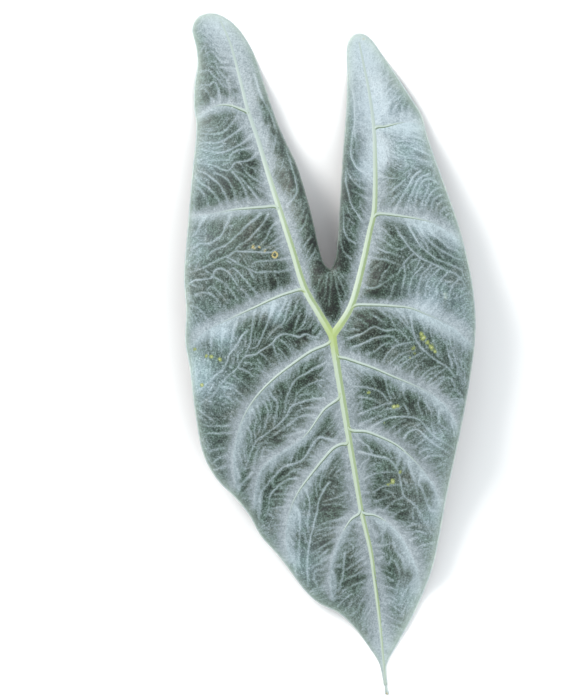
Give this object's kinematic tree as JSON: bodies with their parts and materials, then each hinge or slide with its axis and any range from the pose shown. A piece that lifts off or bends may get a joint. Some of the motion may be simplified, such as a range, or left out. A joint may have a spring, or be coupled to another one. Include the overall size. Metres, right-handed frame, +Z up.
{
  "type": "alocasia leaf",
  "caption": "Arrow-shaped alocasia leaf with raised ribs and veins, a waved edge and a drip tip, picked with a length of its stalk and lying face up.",
  "frame": {"origin": "centre of the leaf's outline, on the surface that it lies on", "axes": "+Z up, out of the leaf's upper face; +Y from the drip tip towards the two hind lobes; +X to the right of someone who looks down on the leaf with the drip tip nearest"},
  "size_m": [0.1904, 0.4492, 0.0495],
  "materials": {
    "blade": "satin",
    "petiole": "satin"
  },
  "bodies": {
    "root": {"blade": "blade", "petiole": "petiole"}
  },
  "joints": []
}
